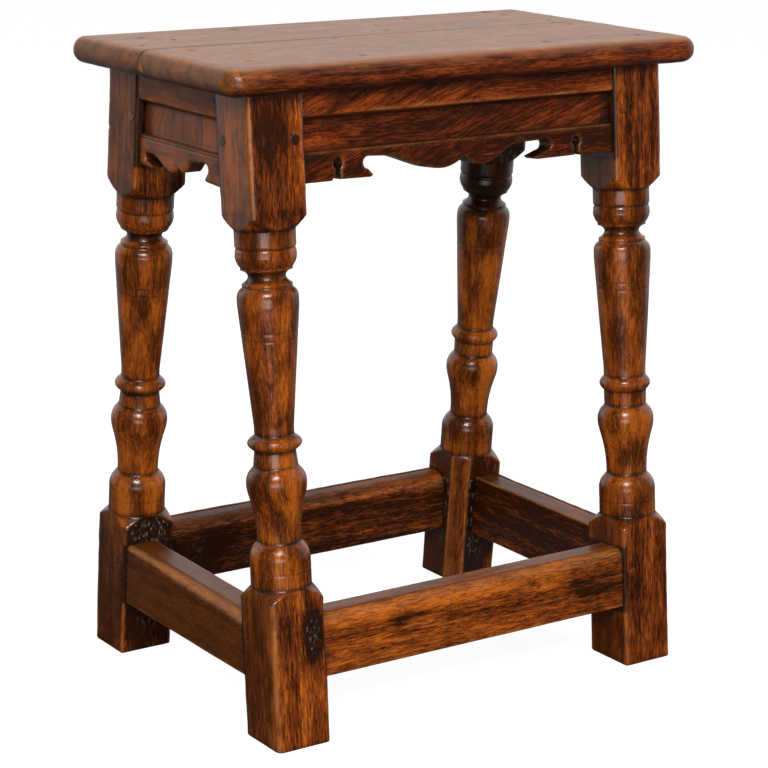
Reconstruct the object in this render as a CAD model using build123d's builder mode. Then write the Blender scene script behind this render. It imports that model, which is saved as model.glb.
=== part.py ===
"""A joint stool in oak: four splayed turned legs, scroll-cut aprons, stretchers and a pegged top.

Millimetres, +Z up. The origin is on the floor, under the middle of the top. X runs along the stool,
-Y is its front. The legs lean inwards from foot to top in Y only. Every frame joint is a tenon in a
mortise, held by pegs driven in from the outer face.
"""

import os
from math import cos, radians, sin, tan
from typing import NamedTuple

from build123d import *

# ---------------------------------------------------------------- driving dimensions
HEIGHT = 537.0

SEAT_LENGTH = 460.0
SEAT_WIDTH = 263.0
SEAT_THICKNESS = 22.0
SEAT_EDGE_RADIUS = 10.6
SEAT_FRONT_CORNER = 18.0
SEAT_REAR_CORNER = 14.0
BOARD_JOINT_Y = 13.0
BOARD_JOINT_ARRIS = 0.5

LEG_SQUARE = 49.0
LEG_ARRIS = 1.5
LEG_X = 176.5
FOOT_Y = 130.6
SPLAY = 5.0
FOOT_EASE = 2.0
# One leg's blank lacked a corner: its low block has a wide flat there, on the corner that faces inwards.
WANE_LEG = "rear_right"
WANE_WIDTH = 10.0

TENON_THICKNESS = 8.0
TENON_SETBACK = 10.0
TENON_LENGTH = 28.0
TENON_ROOT = 14.0
PEG_DIAMETER = 9.0
PEG_LENGTH = 30.0
PEG_PROUD = 0.4
PEG_FROM_SHOULDER = 8.5
TOP_PEG_IN_APRON = 25.0
TOP_PEG_IN_LEG = 12.0

# ---------------------------------------------------------------- worked out from them
SEAT_UNDERSIDE = HEIGHT - SEAT_THICKNESS
HALF_LEG = LEG_SQUARE / 2
LEAN_SIN = sin(radians(SPLAY))
LEAN_COS = cos(radians(SPLAY))
SHOULDER_X = LEG_X - HALF_LEG
# The legs and the leaning rails are cut long and trimmed level at the floor and under the seat.
TRIM = 30.0


def leg_centre_y(z):
    """Distance of a leg's centre line from the XZ plane, at height z."""
    return FOOT_Y - z * tan(radians(SPLAY))


class Side(NamedTuple):
    """One side of the frame. Its plane has x along the rail, y up it and z outwards, and holds the
    legs' centre lines."""

    name: str
    plane: Plane
    leaning: bool

    def shoulder(self, z):
        """Half the rail's length between its shoulders, at height z."""
        return SHOULDER_X if self.leaning else leg_centre_y(z) - HALF_LEG / LEAN_COS

    def tenon_end(self, z):
        """Distance from the middle of the rail to its tenon's end, for a tenon centred at z."""
        return SHOULDER_X + TENON_LENGTH if self.leaning else leg_centre_y(z)


FRONT = Side("front", Plane((0, -FOOT_Y, 0), x_dir=(1, 0, 0), z_dir=(0, -LEAN_COS, LEAN_SIN)), True)
REAR = Side("rear", Plane((0, FOOT_Y, 0), x_dir=(-1, 0, 0), z_dir=(0, LEAN_COS, LEAN_SIN)), True)
LEFT = Side("left", Plane((-LEG_X, 0, 0), x_dir=(0, -1, 0), z_dir=(-1, 0, 0)), False)
RIGHT = Side("right", Plane((LEG_X, 0, 0), x_dir=(0, 1, 0), z_dir=(1, 0, 0)), False)
SIDES = (FRONT, REAR, LEFT, RIGHT)


class Rail(NamedTuple):
    """Where a rail's tenons and pegs are: heights up the rail's own plane."""

    tenon_bottom: float
    tenon_top: float
    peg_height: float

    @property
    def middle(self):
        return (self.tenon_bottom + self.tenon_top) / 2


APRON_JOINT = {True: Rail(453, 500, 478.5), False: Rail(447, 500, 475.5)}
STRETCHER_JOINT = {True: Rail(58, 97, 81), False: Rail(54, 97, 77)}


class HalfScroll(NamedTuple):
    """Half of an apron's cut edge. Each place is (distance from the cusp, height)."""

    lobe_in: tuple
    lobe: tuple
    ogee: tuple
    crown: tuple
    throat_top: tuple
    throat: tuple
    throat_foot: tuple
    tip: tuple
    heel: tuple
    keyhole: tuple = None


class Scroll(NamedTuple):
    """An apron's whole cut edge, seen from outside: its cusp, both halves and the height it ends at."""

    cusp: tuple
    base: float
    left: HalfScroll
    right: HalfScroll


LONG_SCROLL = Scroll(
    cusp=(0.4, 453.7),
    base=443.7,
    left=HalfScroll(
        lobe_in=(10.5, 447.2), lobe=(19.5, 445.1), ogee=(50.5, 451.8), crown=(73.5, 459.1),
        throat_top=(92, 460.2), throat=(97, 456.2), throat_foot=(92.5, 450.3), tip=(87.8, 445.2),
        heel=(90.5, 443.8), keyhole=(120.3, 456.7),
    ),
    right=HalfScroll(
        lobe_in=(6.6, 447.7), lobe=(16.5, 444.8), ogee=(36, 451.6), crown=(62, 459.2),
        throat_top=(82.5, 459.6), throat=(87.4, 455.5), throat_foot=(82.5, 450), tip=(71, 446),
        heel=(73.5, 444), keyhole=(113.5, 455.7),
    ),
)
END_SCROLL = Scroll(
    cusp=(-5.6, 443.1),
    base=437.0,
    left=HalfScroll(
        lobe_in=(4, 438.8), lobe=(11, 437.3), ogee=(26.8, 443.4), crown=(40, 448.1),
        throat_top=(50, 448.5), throat=(53, 445), throat_foot=(48.5, 440.5), tip=(39.8, 437.6),
        heel=(42.5, 436.6),
    ),
    right=HalfScroll(
        lobe_in=(4.1, 441.5), lobe=(10.8, 440.4), ogee=(18.6, 446.6), crown=(27, 451),
        throat_top=(45.5, 452.5), throat=(49, 449.2), throat_foot=(47.6, 444.4), tip=(43.6, 439.6),
        heel=(46.5, 438.4),
    ),
)
KEYHOLE_RADIUS = 4.2
KEYHOLE_SLOT = 4.6


class ApronSection(NamedTuple):
    """Bands of an apron's face. Set-backs are from the legs' outer faces."""

    band_setback: float
    band_foot: float
    recess_setback: float
    bead_top: float
    lower_setback: float
    back_setback: float


LONG_SECTION = ApronSection(1.5, 495, 7, 468, 3.5, 20.5)
END_SECTION = ApronSection(2, 491.5, 7.5, 462.5, 3.5, 19)

STRETCHER_SETBACK = 2.0
STRETCHER_THICKNESS = 28.0
STRETCHER_ROUND = 4.5
# Heights of each stretcher's lower and upper edge, up its own side: no two were planed the same.
STRETCHER_EDGES = {"front": (51.8, 103.8), "rear": (50, 105), "left": (48.4, 102.5), "right": (46.9, 104.4)}
GROOVE_FROM_FACE = 6.5
GROOVE_RADIUS = 0.9

# Places of the pegs in the top: (x, y).
TOP_PEGS_IN_APRONS = [(-90, -99), (90, -99), (-88, 99), (88, 99), (-190, -5), (190, -5)]
TOP_PEGS_IN_LEGS = [(-185, -86), (185, -86), (-185, 86), (185, 86)]


# ---------------------------------------------------------------- shared shapes
def floor_to_seat():
    """A block that keeps what lies between the floor and the seat."""
    with BuildPart() as block:
        with BuildSketch():
            Rectangle(2 * SEAT_LENGTH, 2 * SEAT_WIDTH)
        extrude(amount=SEAT_UNDERSIDE)
    return block.part


def eased_foot(foot):
    """Everything over the floor at a leg, narrowed at the very bottom to ease the foot's edges."""
    width = LEG_SQUARE - 2 * FOOT_EASE
    with BuildPart() as keep:
        with BuildSketch(Plane(foot)):
            RectangleRounded(width, width, LEG_ARRIS)
        extrude(amount=FOOT_EASE + 1, taper=-45)
        with BuildSketch(Plane(foot).offset(FOOT_EASE)):
            Rectangle(SEAT_WIDTH, SEAT_WIDTH)
        extrude(amount=SEAT_UNDERSIDE - FOOT_EASE)
    return keep.part


def tenons(side, rail):
    """A rail's two tenons, each with a root that runs on into the rail."""
    end = side.tenon_end(rail.middle)
    root = side.shoulder(rail.middle) - TENON_ROOT
    with BuildPart() as pair:
        with BuildSketch(side.plane.offset(HALF_LEG - TENON_SETBACK - TENON_THICKNESS)):
            for direction in (-1, 1):
                with Locations((direction * (root + end) / 2, rail.middle)):
                    Rectangle(end - root, rail.tenon_top - rail.tenon_bottom)
        extrude(amount=TENON_THICKNESS)
    return pair.part


def pegs(side, rail):
    """The two pegs of a rail, driven in from the outer face."""
    reach = side.shoulder(rail.peg_height) + PEG_FROM_SHOULDER
    with BuildPart() as pair:
        with BuildSketch(side.plane.offset(HALF_LEG - PEG_LENGTH)):
            with Locations((-reach, rail.peg_height), (reach, rail.peg_height)):
                Circle(PEG_DIAMETER / 2)
        extrude(amount=PEG_LENGTH + PEG_PROUD)
    return pair.part


def top_pegs():
    """All the pegs of the top, from its upper face down into the frame."""
    with BuildPart() as group:
        for places, depth in ((TOP_PEGS_IN_APRONS, TOP_PEG_IN_APRON), (TOP_PEGS_IN_LEGS, TOP_PEG_IN_LEG)):
            with BuildSketch(Plane.XY.offset(SEAT_UNDERSIDE - depth)):
                with Locations(*places):
                    Circle(PEG_DIAMETER / 2)
            extrude(amount=depth + SEAT_THICKNESS)
    return group.part


# ---------------------------------------------------------------- legs
class Turning(NamedTuple):
    """What came off the lathe a little different from leg to leg."""

    waist: float
    neck: float
    drop: float


TURNINGS = {
    "front_left": Turning(waist=15.9, neck=16.5, drop=0.0),
    "front_right": Turning(waist=18.0, neck=18.2, drop=0.0),
    "rear_left": Turning(waist=16.4, neck=16.5, drop=0.7),
    "rear_right": Turning(waist=16.9, neck=18.2, drop=1.4),
}

# Curves of the turned outline, each as the places it goes through: (radius, height up the leg).
TURNED_MAX = 24.4
CLEAR_RADIUS = 40.0
LOW_SHOULDER = ((CLEAR_RADIUS, 110.5), (33.0, 118.9), (TURNED_MAX, 127.8))
BULB_TOP = ((TURNED_MAX, 149.2), (22.8, 157.3), (17.5, 163.6))
BALUSTER = ((17.5, 163.6), (17.8, 174.5), (20.2, 191.3), (22.6, 200.8), (24.2, 211.1))
BALUSTER_TOP = ((24.2, 211.1), (22.7, 218.0), (18.0, 223.8))
ASTRAGAL_LOW = 236.8
ASTRAGAL_MIDDLE = (21.8, 242.8)
ASTRAGAL_TOP = 249.0
TAPER_LOW = 256.0
SHOULDER = ((TURNED_MAX, 357.5), (23.1, 362.2), (20.0, 365.4))
RING = ((19.0, 365.8), (20.1, 366.6), (20.1, 368.2), (18.3, 369.2))
COVE = ((18.3, 369.2), (14.9, 374.0), (18.9, 378.8))
FILLET = ((20.6, 379.2), (20.6, 381.2))
OVOLO = ((21.0, 381.4), (23.5, 385.7), (TURNED_MAX, 389.5))
NECK_GROOVE = ((24.0, 394.3), (23.3, 395.2), (23.3, 396.6), (24.2, 397.4))
HIGH_SHOULDER = ((24.2, 410.5), (32.9, 419.4), (CLEAR_RADIUS, 428.0))
TAPER_TOP = 351.5


def leg_profile(turning):
    """The turned outline, from the foot up, with the blocks left wider than the square."""
    under_astragal = (turning.neck, ASTRAGAL_LOW)
    over_astragal = (turning.waist, ASTRAGAL_TOP)
    Polyline((0, -TRIM), (CLEAR_RADIUS, -TRIM), LOW_SHOULDER[0])
    ThreePointArc(*LOW_SHOULDER)
    Line(LOW_SHOULDER[-1], BULB_TOP[0])
    ThreePointArc(*BULB_TOP)
    # Baluster: a hollow neck that swells to a full belly, then turns in.
    Spline(*BALUSTER, tangents=((0, 1), (0, 1)))
    ThreePointArc(*BALUSTER_TOP)
    Line(BALUSTER_TOP[-1], under_astragal)
    Spline(under_astragal, ASTRAGAL_MIDDLE, over_astragal)
    Polyline(over_astragal, (turning.waist, TAPER_LOW), (TURNED_MAX, TAPER_TOP), SHOULDER[0])
    Spline(*SHOULDER)
    Polyline(SHOULDER[-1], *RING)
    Spline(*COVE)
    Polyline(COVE[-1], *FILLET, OVOLO[0])
    ThreePointArc(*OVOLO)
    Polyline(OVOLO[-1], *NECK_GROOVE, HIGH_SHOULDER[0])
    ThreePointArc(*HIGH_SHOULDER)
    Polyline(HIGH_SHOULDER[-1], (CLEAR_RADIUS, HEIGHT + 2 * TRIM), (0, HEIGHT + 2 * TRIM), (0, -TRIM))


def make_leg(name, end_side, face_side):
    """A leg on the corner of an end (left or right) and a face (front or rear) of the frame."""
    foot = Vector(end_side.plane.origin.X, face_side.plane.origin.Y, 0)
    up = face_side.plane.y_dir
    turning = TURNINGS[name]
    across = Plane(foot - up * turning.drop, x_dir=face_side.plane.x_dir, z_dir=face_side.plane.z_dir)
    with BuildPart() as leg:
        with BuildSketch(across):
            with BuildLine():
                leg_profile(turning)
            make_face()
        revolve(axis=Axis(foot, up))
        with BuildSketch(Plane(foot, x_dir=(1, 0, 0), z_dir=up).offset(-TRIM)):
            RectangleRounded(LEG_SQUARE, LEG_SQUARE, LEG_ARRIS)
        extrude(amount=HEIGHT + 2 * TRIM, mode=Mode.INTERSECT)
        add(eased_foot(foot), mode=Mode.INTERSECT)
        if name == WANE_LEG:
            inner_corner = (-foot.X / LEG_X * HALF_LEG, -foot.Y / FOOT_Y * HALF_LEG)
            with BuildSketch(Plane(foot, x_dir=(1, 0, 0), z_dir=up).offset(-TRIM)):
                with Locations(inner_corner):
                    RegularPolygon(WANE_WIDTH, 4)
            extrude(amount=TRIM + LOW_SHOULDER[-1][1], mode=Mode.SUBTRACT)
        for side in (end_side, face_side):
            for joints in (APRON_JOINT, STRETCHER_JOINT):
                add(tenons(side, joints[side.leaning]), mode=Mode.SUBTRACT)
                add(pegs(side, joints[side.leaning]), mode=Mode.SUBTRACT)
        add(TOP_PEGS, mode=Mode.SUBTRACT)
    return leg.part


# ---------------------------------------------------------------- aprons
def scroll_half(half, direction, cusp, base, end):
    """Draw one half of an apron's lower edge, from the cusp out to the shoulder line."""
    def place(point):
        return (cusp[0] + direction * point[0], point[1])

    Spline(cusp, place(half.lobe_in), place(half.lobe), place(half.ogee), place(half.crown))
    Line(place(half.crown), place(half.throat_top))
    ThreePointArc(place(half.throat_top), place(half.throat), place(half.throat_foot))
    Polyline(place(half.throat_foot), place(half.tip), place(half.heel))
    if half.keyhole is None:
        Polyline(place(half.heel), (end, base))
        return
    hole_x, hole_z = half.keyhole
    slot_in = hole_x - KEYHOLE_SLOT / 2
    slot_out = hole_x + KEYHOLE_SLOT / 2
    slot_top = hole_z - (KEYHOLE_RADIUS ** 2 - (KEYHOLE_SLOT / 2) ** 2) ** 0.5
    Polyline(place(half.heel), place((slot_in, base + 0.6)), place((slot_in, slot_top)))
    ThreePointArc(
        place((slot_in, slot_top)), place((hole_x, hole_z + KEYHOLE_RADIUS)), place((slot_out, slot_top))
    )
    Polyline(
        place((slot_out, slot_top)), place((slot_out, base + 2.4)), place((slot_out + 2, base + 2.4)),
        place((slot_out + 3.6, base)), (end, base),
    )


def apron_outline(side):
    """Face of an apron: level top, shoulders that follow the legs, scroll-cut lower edge."""
    top = SEAT_UNDERSIDE + TRIM if side.leaning else SEAT_UNDERSIDE
    scroll = LONG_SCROLL if side.leaning else END_SCROLL
    foot = side.shoulder(scroll.base)
    head = side.shoulder(top)
    scroll_half(scroll.left, -1, scroll.cusp, scroll.base, -foot)
    scroll_half(scroll.right, 1, scroll.cusp, scroll.base, foot)
    Polyline((-foot, scroll.base), (-head, top), (head, top), (foot, scroll.base))


def apron_section(section):
    """Moulded section: distance out from the legs' centre line across, height up."""
    band = HALF_LEG - section.band_setback
    recess = HALF_LEG - section.recess_setback
    lower = HALF_LEG - section.lower_setback
    back = HALF_LEG - section.back_setback
    foot = section.band_foot
    bead = section.bead_top
    low = END_SCROLL.base - TRIM
    high = SEAT_UNDERSIDE + TRIM
    Polyline((back, low), (back, high), (band, high), (band, foot), (band - 1, foot), (band - 1, foot - 0.8))
    ThreePointArc((band - 1, foot - 0.8), (recess + 1.4, foot - 2.2), (recess, foot - 4.2))
    Polyline((recess, foot - 4.2), (recess, bead + 1.2), (lower - 1.6, bead))
    ThreePointArc((lower - 1.6, bead), (lower - 0.3, bead - 1.3), (lower - 1.2, bead - 2.6))
    Polyline((lower - 1.2, bead - 2.6), (lower, bead - 3.4), (lower, low), (back, low))


def make_apron(side):
    """An apron with its tenons, bored for its pegs and for the pegs of the top."""
    length = 2 * SHOULDER_X
    section_plane = Plane(side.plane.origin, x_dir=side.plane.z_dir, z_dir=-side.plane.x_dir)
    with BuildPart() as apron:
        with BuildSketch(side.plane.offset(-HALF_LEG)):
            with BuildLine():
                apron_outline(side)
            make_face()
        extrude(amount=LEG_SQUARE)
        with BuildSketch(section_plane):
            with BuildLine():
                apron_section(LONG_SECTION if side.leaning else END_SECTION)
            make_face()
        extrude(amount=length, both=True, mode=Mode.INTERSECT)
        add(tenons(side, APRON_JOINT[side.leaning]))
        add(floor_to_seat(), mode=Mode.INTERSECT)
        add(pegs(side, APRON_JOINT[side.leaning]), mode=Mode.SUBTRACT)
        add(TOP_PEGS, mode=Mode.SUBTRACT)
    return apron.part


# ---------------------------------------------------------------- stretchers
def make_stretcher(side):
    """A stretcher with a rounded upper arris and a scratched line along its top."""
    bottom, top = STRETCHER_EDGES[side.name]
    face = HALF_LEG - STRETCHER_SETBACK
    section_plane = Plane(side.plane.origin, x_dir=side.plane.z_dir, z_dir=-side.plane.x_dir)
    with BuildPart() as stretcher:
        with BuildSketch(section_plane):
            with Locations((face - STRETCHER_THICKNESS / 2, (bottom + top) / 2)):
                Rectangle(STRETCHER_THICKNESS, top - bottom)
            fillet(vertices().group_by(Axis.Y)[-1].sort_by(Axis.X)[-1], STRETCHER_ROUND)
            with Locations((face - GROOVE_FROM_FACE, top)):
                Circle(GROOVE_RADIUS, mode=Mode.SUBTRACT)
        extrude(amount=FOOT_Y + LEG_X, both=True)
        with BuildSketch(side.plane.offset(-HALF_LEG)):
            foot = side.shoulder(bottom)
            head = side.shoulder(top)
            with BuildLine():
                Polyline((-foot, bottom), (foot, bottom), (head, top), (-head, top), close=True)
            make_face()
        extrude(amount=LEG_SQUARE, mode=Mode.INTERSECT)
        add(tenons(side, STRETCHER_JOINT[side.leaning]))
        add(pegs(side, STRETCHER_JOINT[side.leaning]), mode=Mode.SUBTRACT)
    return stretcher.part


# ---------------------------------------------------------------- top
def seat_slab():
    """The whole top before it is parted at the joint: rounded corners and a rounded edge."""
    with BuildPart() as slab:
        with BuildSketch(Plane.XY.offset(SEAT_UNDERSIDE)):
            Rectangle(SEAT_LENGTH, SEAT_WIDTH)
            fillet(vertices().group_by(Axis.Y)[0], SEAT_FRONT_CORNER)
            fillet(vertices().group_by(Axis.Y)[-1], SEAT_REAR_CORNER)
        extrude(amount=SEAT_THICKNESS)
        rims = slab.faces().filter_by(Axis.Z).edges()
        fillet(rims, SEAT_EDGE_RADIUS)
    return slab.part


def make_board(keep):
    """One board of the top, on one side of the joint, with the arris at the joint eased."""
    with BuildPart() as board:
        add(seat_slab())
        split(bisect_by=Plane.XZ.offset(-BOARD_JOINT_Y), keep=keep)
        joint_face = board.faces().filter_by(lambda face: abs(face.center().Y - BOARD_JOINT_Y) < 1)[0]
        chamfer(joint_face.edges().sort_by(Axis.Z)[-1], BOARD_JOINT_ARRIS)
        add(TOP_PEGS, mode=Mode.SUBTRACT)
    return board.part


# ---------------------------------------------------------------- make and write every piece
def write(part, name):
    part.label = name
    export_step(part, f"parts/{name}.step")


os.makedirs("parts", exist_ok=True)
TOP_PEGS = top_pegs()

for end_side in (LEFT, RIGHT):
    for face_side in (FRONT, REAR):
        corner = f"{face_side.name}_{end_side.name}"
        write(make_leg(corner, end_side, face_side), f"{corner}_leg")

for side in SIDES:
    write(make_apron(side), f"{side.name}_apron")
    write(make_stretcher(side), f"{side.name}_stretcher")
    write(pegs(side, APRON_JOINT[side.leaning]), f"{side.name}_apron_pegs")
    write(pegs(side, STRETCHER_JOINT[side.leaning]), f"{side.name}_stretcher_pegs")

write(make_board(Keep.TOP), "front_top_board")
write(make_board(Keep.BOTTOM), "rear_top_board")
write(TOP_PEGS, "top_pegs")
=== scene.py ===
"""Looks of the joint stool: old waxed oak, worn pale on its arrises and dark in its recesses.

Every visible piece is a fine mesh that stands for the CAD node of the same name and follows its
sizes. Lengths here are millimetres, turned into metres when a mesh is made.
"""

import math
from collections import namedtuple

import bpy
import numpy as np
from mathutils import Matrix, Vector
from mathutils.geometry import delaunay_2d_cdt


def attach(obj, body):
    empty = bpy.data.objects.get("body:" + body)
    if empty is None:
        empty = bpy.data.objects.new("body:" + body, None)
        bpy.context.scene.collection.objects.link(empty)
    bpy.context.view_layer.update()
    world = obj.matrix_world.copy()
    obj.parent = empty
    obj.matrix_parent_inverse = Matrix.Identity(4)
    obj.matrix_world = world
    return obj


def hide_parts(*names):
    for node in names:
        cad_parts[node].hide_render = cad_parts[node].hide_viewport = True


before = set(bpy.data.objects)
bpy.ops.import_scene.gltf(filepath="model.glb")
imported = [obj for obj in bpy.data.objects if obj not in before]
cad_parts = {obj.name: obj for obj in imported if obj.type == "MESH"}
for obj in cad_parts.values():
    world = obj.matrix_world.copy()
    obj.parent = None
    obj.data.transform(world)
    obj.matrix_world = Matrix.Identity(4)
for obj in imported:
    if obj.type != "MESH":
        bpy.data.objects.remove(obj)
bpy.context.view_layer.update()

MM = 0.001

# ---------------------------------------------------------------- sizes shared with the CAD part
HEIGHT = 537.0
SEAT_UNDERSIDE = 515.0
SEAT_HALF_LENGTH = 230.0
SEAT_HALF_WIDTH = 131.5
SEAT_EDGE_RADIUS = 10.6
SEAT_FRONT_CORNER = 18.0
SEAT_REAR_CORNER = 14.0
BOARD_JOINT_Y = 13.0
HALF_LEG = 24.5
LEG_X = 176.5
FOOT_Y = 130.6
SPLAY = math.radians(5.0)
SIN = math.sin(SPLAY)
COS = math.cos(SPLAY)
SHOULDER_X = LEG_X - HALF_LEG
PEG_RADIUS = 4.5


# ---------------------------------------------------------------- noise and small helpers
def lattice(ix, iy, iz, seed):
    """Pseudo-random numbers from -1 to 1 at whole-number places."""
    n = (ix * 73856093) ^ (iy * 19349663) ^ (iz * 83492791) ^ (seed * 40503 + 977)
    n &= 0xFFFFFFFF
    for _ in range(2):
        n = (((n >> 16) ^ n) * 0x45D9F3B) & 0xFFFFFFFF
    return ((n >> 16) ^ n) / 0x7FFFFFFF - 1.0


def noise(points, size, seed=0):
    """Smooth noise from -1 to 1 over points (n, 3). size is the lattice's step, one or per axis."""
    p = np.asarray(points, float) / np.asarray(size, float)
    whole = np.floor(p).astype(np.int64)
    f = p - whole
    f = f * f * (3 - 2 * f)
    total = 0.0
    for dx in (0, 1):
        for dy in (0, 1):
            for dz in (0, 1):
                weight = ((f[:, 0] if dx else 1 - f[:, 0]) * (f[:, 1] if dy else 1 - f[:, 1])
                          * (f[:, 2] if dz else 1 - f[:, 2]))
                total = total + weight * lattice(whole[:, 0] + dx, whole[:, 1] + dy, whole[:, 2] + dz, seed)
    return total


def smooth(low, high, x):
    """0 under low, 1 over high, eased between."""
    t = np.clip((x - low) / (high - low), 0, 1)
    return t * t * (3 - 2 * t)


def bell(x, width):
    """1 where x is 0, falling away on both sides of it over the width."""
    return np.exp(-(x / width) ** 2)


def patches(u, v, spots):
    """Sum of soft oval spots, each (u, v, half width, half height, strength)."""
    total = 0 * u
    for su, sv, width, height, strength in spots:
        total = total + strength * np.exp(-(((u - su) / width) ** 2 + ((v - sv) / height) ** 2) ** 1.5)
    return total


def round_corner(a, b, corner_a, corner_b, radius):
    """Round off one corner of a section. The corner lies at the high end of a and of b."""
    ca, cb = corner_a - radius, corner_b - radius
    far = np.hypot(np.maximum(a - ca, 0), np.maximum(b - cb, 0))
    cut = (a > ca) & (b > cb) & (far > radius)
    scale = np.where(cut, radius / np.maximum(far, 1e-6), 1)
    return np.where(cut, ca + (a - ca) * scale, a), np.where(cut, cb + (b - cb) * scale, b)


def steps(*stations):
    """Numbers that run through (place, step) stations: each step holds up to the next place."""
    out = []
    for (low, step), (high, _) in zip(stations, stations[1:]):
        count = max(1, round((high - low) / step))
        out.extend(np.linspace(low, high, count, endpoint=False))
    out.append(stations[-1][0])
    return np.array(out)


def ring_faces(rows, cols, closed=True):
    """Quads between rows of a grid of points, closed round each row or open."""
    last = cols if closed else cols - 1
    return [
        (r * cols + c, r * cols + (c + 1) % cols, (r + 1) * cols + (c + 1) % cols, (r + 1) * cols + c)
        for r in range(rows - 1)
        for c in range(last)
    ]


def new_object(name, data):
    """An object with this data, put in the scene."""
    made = bpy.data.objects.new(name, data)
    bpy.context.scene.collection.objects.link(made)
    return made


MASKS = ("wear", "grime_and_shade", "calm", "shade", "gloss")
SIGNED_MASKS = ("shade", "gloss")
# How much the deepest shade adds to the mask of grime and painted shade. Deep shade
# stands for dark knots and patches, and for painted shade.
DEEP_SHADE_DARKENING = 0.75


def make_piece(name, nodes, slot, material, points, faces, wood, wear, grime_and_shade,
               calm=0.0, shade=0.0, gloss=0.0):
    """A shown mesh that stands for CAD nodes. wood is each point's place in its blank, z along the
    grain. wear, calm and the mask of grime and painted shade run from 0 to 1. gloss is dull under 0
    and polished over it. shade is darker under 0 and lighter over it, for the wood's own tone and for
    painted shade, and where it is deep it adds to the mask of grime and painted shade."""
    mesh = bpy.data.meshes.new(name)
    mesh.from_pydata((points * MM).tolist(), [], faces)
    # Deep shade, painted shade as well as dark knots and patches, adds to the mask of grime and painted
    # shade.
    grime_and_shade = grime_and_shade + DEEP_SHADE_DARKENING * smooth(-0.5, -1.0, shade + 0 * grime_and_shade)
    for label, values in zip(MASKS, (wear, grime_and_shade, calm, shade, gloss)):
        layer = mesh.attributes.new(label, "FLOAT", "POINT")
        least = -1 if label in SIGNED_MASKS else 0
        values = np.clip(values, least, 1) + np.zeros(len(points))
        layer.data.foreach_set("value", values.astype(np.float32))
    layer = mesh.attributes.new("wood", "FLOAT_VECTOR", "POINT")
    layer.data.foreach_set("vector", (wood * MM).astype(np.float32).ravel())
    mesh.shade_smooth()
    mesh.materials.append(material)
    mesh.validate()
    piece = new_object(name, mesh)
    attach(piece, "root")
    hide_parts(*nodes)


# ---------------------------------------------------------------- the four sides of the frame
class Side:
    """A side's own axes: u along the rail, v up it, n outwards, from the legs' centre lines."""

    def __init__(self, name, origin, u, v, n, leaning):
        self.name = name
        self.origin, self.u, self.v, self.n = (np.array(a, float) for a in (origin, u, v, n))
        self.leaning = leaning

    def to_world(self, uvn):
        return self.origin + uvn[:, :1] * self.u + uvn[:, 1:2] * self.v + uvn[:, 2:3] * self.n

    def from_world(self, points):
        away = points - self.origin
        return np.stack([away @ self.u, away @ self.v, away @ self.n], 1)

    def shoulder(self, z):
        """Half the rail's length between its shoulders, at height z."""
        if self.leaning:
            return SHOULDER_X + 0 * z
        return FOOT_Y - z * math.tan(SPLAY) - HALF_LEG / COS


FRONT = Side("front", (0, -FOOT_Y, 0), (1, 0, 0), (0, SIN, COS), (0, -COS, SIN), True)
REAR = Side("rear", (0, FOOT_Y, 0), (-1, 0, 0), (0, -SIN, COS), (0, COS, SIN), True)
LEFT = Side("left", (-LEG_X, 0, 0), (0, -1, 0), (0, 0, 1), (-1, 0, 0), False)
RIGHT = Side("right", (LEG_X, 0, 0), (0, 1, 0), (0, 0, 1), (1, 0, 0), False)
SIDES = (FRONT, REAR, LEFT, RIGHT)


def node_points(name):
    """A CAD node's vertices, in millimetres."""
    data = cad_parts[name].data
    flat = np.zeros(len(data.vertices) * 3)
    data.vertices.foreach_get("co", flat)
    return flat.reshape(-1, 3) / MM


# ---------------------------------------------------------------- legs
# Heights up a leg of its turned part and of the sloping shoulders that end its blocks.
TURNED_LOW = 127.8
TURNED_HIGH = 410.5
SHOULDER_FOOT = 110.5
SHOULDER_HEAD = 428.0
SHOULDER_RISE = 15.7
SHOULDER_BULGE = 0.8
# How much lower each leg's turnings start than the first leg's.
DROPS = {"front_left_leg": 0.0, "front_right_leg": 0.0, "rear_left_leg": 0.7, "rear_right_leg": 1.4}
# Fine lines cut on the lathe: a pair on the taper and one on the bulb.
CUT_LINES = (325.0, 331.0, 140.5)
CUT_LINE_WIDTH = 0.55
CUT_LINE_DEPTH = 0.35
# How far a block's faces lie inside the CAD's square.
BLOCK_INSET = 0.12
FOOT_ROUND = 2.4
# Radii of the arris that faces outwards, on the low and the high block, and of the other three.
FREE_ARRIS_ROUND = {"front_left_leg": (4.8, 2.2)}
USUAL_ARRIS_ROUND = (2.2, 2.0)
RAIL_ARRIS_ROUND = 1.3
ARRIS_ROUND_LIMITS = (0.6, 8.0)
CHIP_DEPTH = 1.3
# Heights on a leg that the stretchers and the aprons cover, and how soon their cover begins.
BESIDE_STRETCHER = (46.0, 106.0)
BESIDE_APRON = 436.0
COVER_EASE = 4.0
# Towards its two ends a leg's rings turn level, between these heights.
TURNING_LEVEL = ((105, 85), (435, 455))
WANE_LEG = "rear_right_leg"
WANE_WIDTH = 12.5
# Rough hollows at knots in front faces: place across and up, half width, half height and depth.
LEG_HOLLOWS = {
    "front_left_leg": [(20, 92, 9, 22, 2.2), (6, 74, 7, 8, 0.8), (-1, 54, 5, 5, 0.6)],
    "rear_left_leg": [(0, 116, 22, 15, 2.5)],
}
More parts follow.
